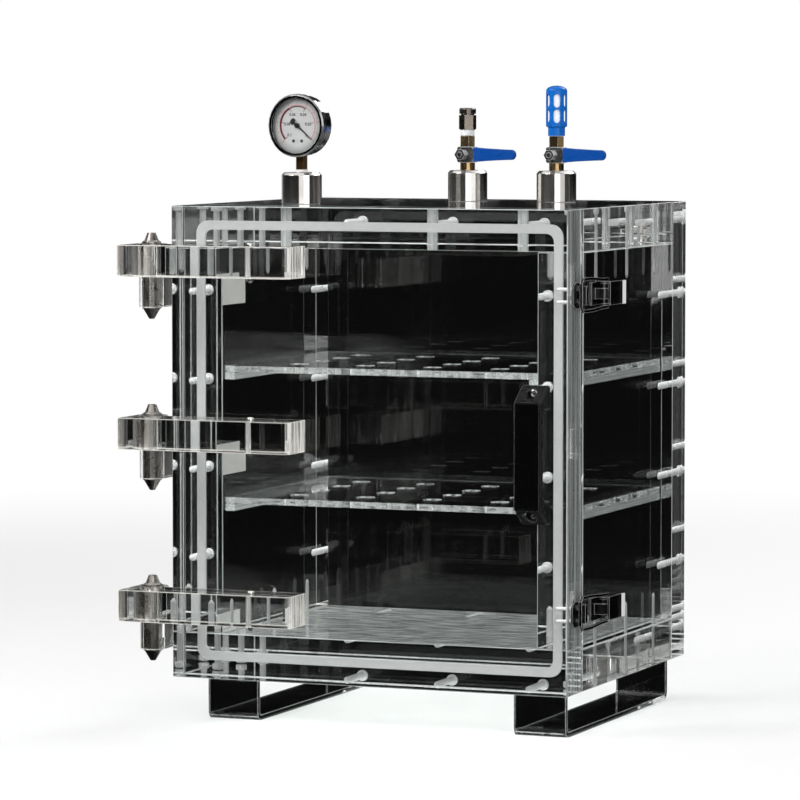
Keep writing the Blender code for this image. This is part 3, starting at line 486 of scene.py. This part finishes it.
# Finish for every CAD node
nodeFinish = {
    topAcrylic: ["top_wall"],
    bottomAcrylic: ["bottom_wall"],
    sideAcrylic: ["left_wall", "right_wall"],
    backAcrylic: ["back_wall"],
    doorAcrylic: ["door_panel"],
    shelfAcrylic: ["upper_shelf", "lower_shelf"],
    railAcrylic: ["upper_rail_left", "upper_rail_right", "lower_rail_left", "lower_rail_right"],
    armAcrylic: ["hinge_arm_1", "hinge_arm_2", "hinge_arm_3"],
    leafAcrylic: ["hinge_leaf_1", "hinge_leaf_2", "hinge_leaf_3"],
    footAcrylic: ["foot_left", "foot_right"],
    silicone: ["door_gasket"],
    turnedSteel: ["gauge_boss", "vent_boss", "pump_boss"],
    hingeSteel: ["hinge_pin_1", "hinge_pin_2", "hinge_pin_3",
                 "hinge_bush_1", "hinge_bush_2", "hinge_bush_3"],
    pressedSteelPaintedReflection: ["latch_keeper_top", "latch_keeper_bottom", "latch_base_top", "latch_base_bottom",
                   "latch_bail_top", "latch_bail_bottom"],
    leverSteelPaintedReflection: ["latch_lever_top", "latch_lever_bottom"],
    bezelPaintedReflection: ["gauge_bezel"],
    gaugeChrome: ["gauge_case"],
    plugSteelPaintedReflection: ["port_plug"],
    brightPlate: ["vent_valve_stem", "pump_valve_stem", "vent_valve_lever",
                  "pump_valve_lever", "vent_lever_nut", "pump_lever_nut"],
    valveMetal: ["vent_valve_body", "pump_valve_body"],
    machinedBrass: ["gauge_stem"],
    blackMoulding: ["door_handle"],
    blueDip: ["vent_lever_sleeve", "pump_lever_sleeve"],
    blueMoulding: ["muffler"],
    whiteCorePaintedGlow: ["muffler_core"],
    dialWhitePaintedShade: ["gauge_dial"],
    gaugeLens: ["gauge_lens"],
    pointerBlack: ["gauge_needle"],
}
for material, names in nodeFinish.items():
    for name in names:
        node = nodes[name]
        if not node.material_slots:
            node.data.materials.append(material)
        for slot in node.material_slots:
            slot.material = material
bare = sorted(set(nodes) - {name for names in nodeFinish.values() for name in names})
print("CAD nodes finished, left bare:", bare)


# Mesh helpers
sharpAngle = math.radians(38)


def meshObject(name, bm, material):
    mesh = bpy.data.meshes.new(name)
    bm.to_mesh(mesh)
    bm.free()
    mesh.materials.append(material)
    return addObject(name, mesh)


def newPiece(name, bm, material, body, smooth=True):
    bmesh.ops.recalc_face_normals(bm, faces=bm.faces)
    piece = meshObject(name, bm, material)
    if smooth:
        piece.data.shade_smooth()
        piece.data.set_sharp_from_angle(angle=sharpAngle)
    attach(piece, body)


def joinRings(bm, rings):
    # a ring of one point closes the shape to a tip
    for low, high in zip(rings, rings[1:]):
        steps = max(len(low), len(high))
        for step in range(steps):
            after = (step + 1) % steps
            corners = [low[step % len(low)], low[after % len(low)],
                       high[after % len(high)], high[step % len(high)]]
            corners = list(dict.fromkeys(corners))
            if len(corners) > 2:
                bm.faces.new(corners)


def flatSided(radius, angle, sides):
    half = math.pi / sides
    return radius * math.cos(half) / math.cos(angle % (2 * half) - half)


def turnedShape(profile, steps, place):
    # each point is a radius and a height, and six as a third value makes that ring a hexagon
    bm = bmesh.new()
    rings = []
    for radius, height, *sides in profile:
        if radius == 0:
            rings.append([bm.verts.new(place @ Vector((0, 0, height)))])
            continue
        ring = []
        for step in range(steps):
            angle = 2 * math.pi * step / steps
            reach = flatSided(radius, angle, sides[0]) if sides else radius
            point = Vector((reach * math.cos(angle), reach * math.sin(angle), height))
            ring.append(bm.verts.new(place @ point))
        rings.append(ring)
    joinRings(bm, rings)
    return bm


def aimed(place, direction):
    turn = Vector(direction).to_track_quat("Z", "Y").to_matrix().to_4x4()
    return Matrix.Translation(Vector(place)) @ turn


# Clear threaded screws that hold the walls together
chamberBox = {
    "low": Vector((-0.18915, -0.1085, 0.045)),
    "high": Vector((0.21085, 0.1915, 0.495)),
    "wall": 0.040,
}
wallScrew = {
    "shankRadius": 0.0034,
    "rootRadius": 0.0029,
    "pitch": 0.0010,
    "headRadius": 0.0056,
    "headLength": 0.0058,
    "tipLength": 0.003,
    "steps": 14,
    "uprightLength": 0.0695,
    "lyingLength": 0.068,
    "sink": 0.0006,
    "depths": (-0.0580, 0.0300, 0.1120),
    "heights": (0.1400, 0.2280, 0.3160, 0.4050),
    "across": (-0.083, 0.012, 0.107),
}


threadLook = {
    "bluntRadius": 0.5,  # shares of the root's radius and the tip's length
    "bluntLength": 0.3,
    "crestFrom": 0.35,  # shares of the pitch
    "crestTo": 0.5,
    "runOut": 0.001,
    "neck": 0.0006,
    "shoulder": [(0.96, 0.0), (1.0, -0.0008)],  # share of the head's radius, height over its underside
    "face": [(1.0, 0.0014), (0.9, 0.0004), (0.62, 0.0), (0, 0.0002)],
}


def screwProfile(spec, length):
    # from the tip over the thread's crests and roots to the head's face at height 0
    head, rim, radius, root = spec["headLength"], spec["headRadius"], spec["shankRadius"], spec["rootRadius"]
    pitch, tip, look = spec["pitch"], spec["tipLength"], threadLook
    height = length - tip
    points = [(0, length), (root * look["bluntRadius"], length - tip * look["bluntLength"]), (root, height)]
    while height - pitch > head + look["runOut"]:
        points += [(radius, height - pitch * look["crestFrom"]), (radius, height - pitch * look["crestTo"]),
                   (root, height - pitch)]
        height -= pitch
    points += [(radius, head + look["neck"]), (radius, head)]
    points += [(rim * share, head + rise) for share, rise in look["shoulder"]]
    points += [(rim * share, rise) for share, rise in look["face"]]
    return points


def placeScrew(name, start, direction):
    upright = direction[2] != 0
    profile = screwProfile(wallScrew, wallScrew["uprightLength" if upright else "lyingLength"])
    bm = turnedShape(profile, wallScrew["steps"], aimed(start, direction))
    newPiece(name, bm, cloudyNylon if upright else frostedNylon, "chamber")


def placeWallScrews(box, spec):
    low, high, half, sink = box["low"], box["high"], box["wall"] / 2, spec["sink"]
    back = high.y - sink
    for edge, x in (("left", low.x + half), ("right", high.x - half)):
        for number, y in enumerate(spec["depths"], 1):
            placeScrew(f"top_{edge}_screw_{number}", (x, y, high.z - sink), (0, 0, -1))
            placeScrew(f"bottom_{edge}_screw_{number}", (x, y, low.z + sink), (0, 0, 1))
        for number, z in enumerate(spec["heights"], 1):
            placeScrew(f"back_{edge}_screw_{number}", (x, back, z), (0, -1, 0))
    for edge, z in (("top", high.z - half), ("bottom", low.z + half)):
        for number, x in enumerate(spec["across"], 1):
            placeScrew(f"back_{edge}_screw_{number}", (x, back, z), (0, -1, 0))


placeWallScrews(chamberBox, wallScrew)
print("wall screws ready")


# Fasteners of the hinges, the handle, the keepers and the rails
panLook = {
    # shares of the socket's or the head's radius, and of the head's height
    "socket": [(0, 0.35), (0.9, 0.35, 6), (1.0, 0.96, 6), (1.12, 1.0)],
    "dome": [(0.72, 1.0), (0.93, 0.8), (1.0, 0.5)],
    "underside": 0.96,
    "chamfer": 0.0002,
}


def panHead(radius, height, socket, shank, length):
    points = [(socket * across, height * up, *sides) for across, up, *sides in panLook["socket"]]
    points += [(radius * across, height * up) for across, up in panLook["dome"]]
    points += [(radius, panLook["chamfer"]), (radius * panLook["underside"], 0)]
    return points + [(shank, 0), (shank, -length), (0, -length)]


# a head's five sizes are those that panHead takes
armScrew = {
    "x": -0.09615, "y": -0.1775, "arms": [(0.101, 0.131), (0.2648, 0.2948), (0.4286, 0.4586)],
    "head": (0.0040, 0.0028, 0.0020, 0.0025, 0.001), "headLift": 0.0001, "headSteps": 24,
    "thread": {"headLength": 0.0, "headRadius": 0.0024, "shankRadius": 0.0025, "rootRadius": 0.0021,
               "tipLength": 0.0008, "pitch": wallScrew["pitch"]},
    "threadSteps": 16,
    "nut": [(0, -0.0002), (0.0017, -0.0002), (0.0030, -0.0002, 6), (0.0034, -0.0006, 6),
            (0.0034, -0.0026, 6), (0.0028, -0.0030, 6), (0.0021, -0.0030), (0.0021, -0.0042),
            (0.0018, -0.0046), (0, -0.0046)],
}
for number, (low, high) in enumerate(armScrew["arms"], 1):
    x, y, steps = armScrew["x"], armScrew["y"], armScrew["headSteps"]
    place = aimed((x, y, high + armScrew["headLift"]), (0, 0, 1))
    bm = turnedShape(panHead(*armScrew["head"]), steps, place)
    newPiece(f"arm_screw_{number}", bm, turnedSteel, "door")
    thread = screwProfile(armScrew["thread"], high - low)
    bm = turnedShape(thread, armScrew["threadSteps"], aimed((x, y, high), (0, 0, -1)))
    newPiece(f"arm_screw_thread_{number}", bm, cloudyNylon, "door")
    bm = turnedShape(armScrew["nut"], steps, Matrix.Translation((x, y, low)))
    newPiece(f"arm_screw_nut_{number}", bm, pressedSteelPaintedReflection, "door", smooth=False)

handleScrew = {
    "x": 0.18135, "y": -0.1586, "middle": 0.2692, "pitch": 0.113, "steps": 24,
    "profile": [(0, 0.0012), (0.0018, 0.0012, 6), (0.0020, 0.0031, 6), (0.0032, 0.0032), (0.0041, 0.0026),
                (0.0043, 0.0018), (0.0043, 0.0), (0.0023, 0.0), (0.0023, -0.0070), (0, -0.0070)],
}
# the two handle screws are alike; the upper takes bright plate and the lower near-black steel: painted light
# and painted shade
for name, side, material in (("upper", 1, brightPlate), ("lower", -1, pressedSteelPaintedReflection)):
    z = handleScrew["middle"] + side * handleScrew["pitch"] / 2
    place = aimed((handleScrew["x"], handleScrew["y"], z), (0, -1, 0))
    bm = turnedShape(handleScrew["profile"], handleScrew["steps"], place)
    newPiece(f"handle_screw_{name}", bm, material, "door")

keeperScrew = {
    "headX": 0.2130, "threadX": 0.2107, "y": -0.1315, "side": 0.0059,
    "centres": {"top": 0.4155, "bottom": 0.1200},
    "head": (0.0030, 0.0016, 0.0012, 0.0014, 0.0018), "headSteps": 18,
    "thread": [(0, 0), (0.0017, 0), (0.0017, -0.0130), (0.0012, -0.0148), (0, -0.0152)], "threadSteps": 14,
}
for level, middle in keeperScrew["centres"].items():
    for name, side in (("low", -1), ("high", 1)):
        y, z = keeperScrew["y"], middle + side * keeperScrew["side"]
        place = aimed((keeperScrew["headX"], y, z), (1, 0, 0))
        bm = turnedShape(panHead(*keeperScrew["head"]), keeperScrew["headSteps"], place)
        newPiece(f"keeper_screw_{level}_{name}", bm, pressedSteelPaintedReflection, "door")
        place = aimed((keeperScrew["threadX"], y, z), (1, 0, 0))
        bm = turnedShape(keeperScrew["thread"], keeperScrew["threadSteps"], place)
        newPiece(f"keeper_thread_{level}_{name}", bm, frostedNylon, "door")

railScrew = {
    "x": 0.1690, "places": (-0.025, 0.023, 0.071), "heights": {"upper": 0.3388, "lower": 0.2128}, "steps": 14,
    "profile": [(0, 0.0102), (0.0007, 0.0096), (0.0013, 0.0080), (0.0013, 0.0008), (0.0022, 0.0004),
                (0.0022, 0), (0, 0)],
}
for level, z in railScrew["heights"].items():
    for number, y in enumerate(railScrew["places"], 1):
        bm = turnedShape(railScrew["profile"], railScrew["steps"], aimed((railScrew["x"], y, z), (1, 0, 0)))
        newPiece(f"rail_screw_{level}_{number}", bm, darkSteel, "chamber")
print("fasteners ready")


# Sealing tape wound on the threads
tapeWind = {
    "steps": 36,
    "rows": 7,
    "creases": [(3, 1.7), (7, 2.9)],  # waves round the tape, and their turn from row to row in radians
    "creaseDepth": 0.000065,
    "ridge": 0.0001,
    "groove": -0.00012,
    "edgeWaves": 5,
    "edgeDepth": 0.00022,
}
tapeRings = {
    "gauge_tape": {"centre": (-0.10015, -0.0445), "low": 0.5255, "high": 0.5279, "radius": 0.0064},
    "plug_tape": {"centre": (0.00965, 0.1145), "low": 0.5598, "high": 0.5654, "radius": 0.0070},
}


def windTape(name, spec):
    bm = bmesh.new()
    rings = []
    steps, rows = tapeWind["steps"], tapeWind["rows"]
    for row in range(rows + 1):
        level = spec["low"] + (spec["high"] - spec["low"]) * row / rows
        base = spec["radius"] + (tapeWind["ridge"] if row % 2 else tapeWind["groove"])
        ring = []
        for step in range(steps):
            angle = 2 * math.pi * step / steps
            crease = sum(math.sin(waves * angle + row * turn) for waves, turn in tapeWind["creases"])
            radius = base + tapeWind["creaseDepth"] * crease
            ragged = math.sin(tapeWind["edgeWaves"] * angle + 1) if row in (0, rows) else 0
            x, y = spec["centre"][0] + radius * math.cos(angle), spec["centre"][1] + radius * math.sin(angle)
            ring.append(bm.verts.new((x, y, level + tapeWind["edgeDepth"] * ragged)))
        rings.append(ring)
    joinRings(bm, rings)
    bm.faces.new(rings[0])
    bm.faces.new(rings[-1])
    newPiece(name, bm, sealTape, "chamber")


for name, spec in tapeRings.items():
    windTape(name, spec)
print("sealing tape ready")


# Gauge print: bands, ticks and plain numbers a hair above the dial
gaugePrint = {
    "centre": (-0.10015, -0.0445, 0.5703),
    "turn": -6.0,
    "face": 7.81,  # millimetres in front of the gauge's middle, as are the sizes below
    "thick": 0.06,
    "bands": [  # inner and outer radius, first and last angle
        ("dial_band_red", dialRed, 17.5, 19.6, 225, 118),
        ("dial_band_ink", dialInk, 17.9, 18.9, 118, 60),
        ("dial_band_thin", dialThinRed, 19.1, 19.8, 115, -45),
    ],
    "bandStep": 4,
    "innerTicks": [225, 171, 117, 63, 9, -45],
    "innerSize": (15.0, 17.9, 0.6),  # inner and outer radius, width
    "smallTicks": [225 - 9 * step for step in range(31) if step % 6],
    "smallSize": (16.9, 17.7, 0.22),
    "outerTicks": [225, 198, 171, 144, 117, 90, 63, 36, 9, -18],
    "outerSizes": [(20.4, 24.6, 0.5), (20.4, 22.8, 0.5)],  # every other tick is short
    "numbers": [("0.06", -5.4, 10.4), ("0.04", 6.4, 10.4), ("0.02", 11.8, 1.3), ("0.08", -11.3, 1.3),
                ("0.1", -8.6, -9.1), ("0", 9.5, -9.5)],
    "numberHeight": 4.0,
    "numberWeight": 0.09,
    "numberSteps": 3,
    "screws": [(-4.4, -14.7), (4.6, -14.7)],
    "screwSink": 0.01,
    "screwSteps": 20,
    "screwProfile": [(0, 0.42), (0.45, 0.42), (0.5, 0.6), (1.1, 0.52), (1.5, 0.3), (1.6, 0.02),
                     (1.6, 0), (0, 0)],
}
dialPlace = (Matrix.Translation(gaugePrint["centre"])
             @ Matrix.Rotation(math.radians(gaugePrint["turn"]), 4, "Z")
             @ Matrix.Rotation(math.radians(90), 4, "X")
             @ Matrix.Scale(0.001, 4))


def printShape(bm, outline):
    low, high = gaugePrint["face"], gaugePrint["face"] + gaugePrint["thick"]
    rings = [[bm.verts.new(dialPlace @ Vector((x, y, z))) for x, y in outline] for z in (low, high)]
    joinRings(bm, rings)
    bm.faces.new(rings[0][::-1])
    bm.faces.new(rings[1])


def onCircle(radius, angle):
    return (radius * math.cos(angle), radius * math.sin(angle))


def printBand(bm, inner, outer, start, stop):
    steps = max(2, round(abs(stop - start) / gaugePrint["bandStep"]))
    angles = [math.radians(start + (stop - start) * step / steps) for step in range(steps + 1)]
    for near, far in zip(angles, angles[1:]):
        printShape(bm, [onCircle(inner, near), onCircle(outer, near),
                        onCircle(outer, far), onCircle(inner, far)])


def printTicks(bm, angles, inner, outer, width):
    for angle in angles:
        along = Vector(onCircle(1.0, math.radians(angle)))
        side = Vector((-along.y, along.x)) * width / 2
        near, far = along * inner, along * outer
        printShape(bm, [near - side, far - side, far + side, near + side])


def printNumber(bm, text, x, y):
    letters = bpy.data.curves.new("number", "FONT")
    letters.body = text
    letters.size = gaugePrint["numberHeight"]
    letters.align_x, letters.align_y = "CENTER", "CENTER"
    letters.extrude = gaugePrint["thick"] / 2
    letters.resolution_u = gaugePrint["numberSteps"]
    letters.offset = gaugePrint["numberWeight"]
    holder = addObject("number", letters)
    bpy.context.view_layer.update()
    flat = bpy.data.meshes.new_from_object(holder.evaluated_get(bpy.context.evaluated_depsgraph_get()))
    flat.transform(dialPlace @ Matrix.Translation((x, y, gaugePrint["face"] + gaugePrint["thick"] / 2)))
    bm.from_mesh(flat)
    bpy.data.objects.remove(holder)
    bpy.data.meshes.remove(flat)


for name, finish, inner, outer, start, stop in gaugePrint["bands"]:
    bm = bmesh.new()
    printBand(bm, inner, outer, start, stop)
    newPiece(name, bm, finish, "chamber", smooth=False)
bm = bmesh.new()
printTicks(bm, gaugePrint["innerTicks"], *gaugePrint["innerSize"])
printTicks(bm, gaugePrint["smallTicks"], *gaugePrint["smallSize"])
newPiece("dial_ticks_inner", bm, dialInk, "chamber", smooth=False)
bm = bmesh.new()
for number, angle in enumerate(gaugePrint["outerTicks"]):
    printTicks(bm, [angle], *gaugePrint["outerSizes"][number % 2])
newPiece("dial_ticks_outer", bm, dialThinRed, "chamber", smooth=False)
bm = bmesh.new()
for text, x, y in gaugePrint["numbers"]:
    printNumber(bm, text, x, y)
newPiece("dial_numbers", bm, dialInk, "chamber", smooth=False)
for number, (x, y) in enumerate(gaugePrint["screws"], 1):
    place = dialPlace @ Matrix.Translation((x, y, gaugePrint["face"] - gaugePrint["screwSink"]))
    bm = turnedShape(gaugePrint["screwProfile"], gaugePrint["screwSteps"], place)
    newPiece(f"dial_screw_{number}", bm, darkSteel, "chamber")
print("gauge print ready")


# Stage
floorLook = {"colour": grey(0.82), "size": 30.0, "drop": 0.0002, "fadeFrom": 0.9, "fadeTo": 2.6}


def makeFloor(spec):
    # pale round the object, fading into the white behind it
    material, tree = newMaterial("paleFloor")
    reach = vectorNode(tree, "LENGTH", objectPlace(tree), output="Value")
    fade = addNode(tree, "ShaderNodeMapRange", {
        "Value": reach, "From Min": spec["fadeFrom"], "From Max": spec["fadeTo"]},
        interpolation_type="SMOOTHSTEP")
    matt = addNode(tree, "ShaderNodeBsdfDiffuse", {"Color": spec["colour"]})
    bright = addNode(tree, "ShaderNodeEmission", {"Color": grey(1.0), "Strength": 1.0})
    mixed = addNode(tree, "ShaderNodeMixShader", {
        0: fade.outputs["Result"], 1: matt.outputs["BSDF"], 2: bright.outputs["Emission"]})
    endMaterial(tree, mixed.outputs["Shader"])
    half = spec["size"] / 2
    corners = ((-half, -half), (half, -half), (half, half), (-half, half))
    bm = bmesh.new()
    bm.faces.new([bm.verts.new((x, y, -spec["drop"])) for x, y in corners])
    floor = meshObject("studioFloor", bm, material)


makeFloor(floorLook)


# Dark cards round the object, as glass is photographed: seen by gloss and glass, not by the camera
cardLook = {
    "shade": grey(0.003),
    "radius": 2.2,
    "floorRadius": 2.25,
    "floorSteps": 60,
    "drop": 0.0001,
    # each stretch: from and to, in degrees round from the front towards the right, then lower and upper edge
    "stretches": [(60, 95, 0, 2.6), (103, 236, 0, 2.6), (254, 386, 0, 2.6), (386, 420, 0, 0.33),
                  (386, 420, 0.8, 2.6)],
    "facet": 6.0,
}


def makeCards(spec):
    material, tree = newMaterial("darkCard")
    matt = addNode(tree, "ShaderNodeBsdfDiffuse", {"Color": spec["shade"]})
    endMaterial(tree, matt.outputs["BSDF"])
    bm = bmesh.new()
    radius, drop = spec["radius"], spec["drop"]
    for start, stop, foot, height in spec["stretches"]:
        facets = max(1, round((stop - start) / spec["facet"]))
        posts = []
        for step in range(facets + 1):
            angle = math.radians(start + (stop - start) * step / facets)
            x, y = radius * math.sin(angle), -radius * math.cos(angle)
            posts.append((bm.verts.new((x, y, foot - drop)), bm.verts.new((x, y, height))))
        for near, far in zip(posts, posts[1:]):
            bm.faces.new((near[0], far[0], far[1], near[1]))
    turns = [2 * math.pi * step / spec["floorSteps"] for step in range(spec["floorSteps"])]
    bm.faces.new([bm.verts.new((*onCircle(spec["floorRadius"], angle), -drop)) for angle in turns])
    cards = meshObject("darkCards", bm, material)
    cards.visible_camera = False
    cards.visible_diffuse = False
    cards.visible_shadow = False


makeCards(cardLook)


# Light
worldLook = {"light": 0.55, "background": 1.0}
lampTarget = Vector((0, 0, 0.28))
lampRows = {
    "keyLamp": {"place": (-1.4, -1.6, 2.0), "size": 1.2, "power": 42.0},
    "fillLamp": {"place": (1.1, -1.65, 0.9), "size": 1.6, "power": 15.0},
    "rimLamp": {"place": (0.6, 1.8, 2.0), "size": 1.2, "power": 26.0},
}


def makeWorld(spec):
    # white to the camera, gloss and glass, and dimmer as light on matt surfaces
    world = bpy.data.worlds.new("studio")
    bpy.context.scene.world = world
    world.use_nodes = True
    tree = world.node_tree
    tree.nodes.clear()
    rays = addNode(tree, "ShaderNodeLightPath").outputs
    seen = strongest(tree, [rays["Is Camera Ray"], rays["Is Glossy Ray"], rays["Is Transmission Ray"]])
    strength = rampNode(tree, seen, 0.0, 1.0, spec["light"], spec["background"])
    shade = addNode(tree, "ShaderNodeBackground", {"Color": grey(1.0), "Strength": strength})
    addNode(tree, "ShaderNodeOutputWorld", {"Surface": shade.outputs["Background"]})


def makeLamp(name, spec):
    data = bpy.data.lights.new(name, "AREA")
    data.energy = spec["power"]
    data.size = spec["size"]
    place = Vector(spec["place"])
    pointBack(addObject(name, data), place, place - lampTarget)


makeWorld(worldLook)
for name, spec in lampRows.items():
    makeLamp(name, spec)
bpy.context.scene.view_settings.view_transform = "Standard"

# Thick acrylic carries light along inside it, so that a ray needs more turns than usual
lightTurns = {"max_bounces": 28, "glossy_bounces": 16, "transmission_bounces": 24}
for key, value in lightTurns.items():
    setattr(bpy.context.scene.cycles, key, value)
print("stage and light ready")
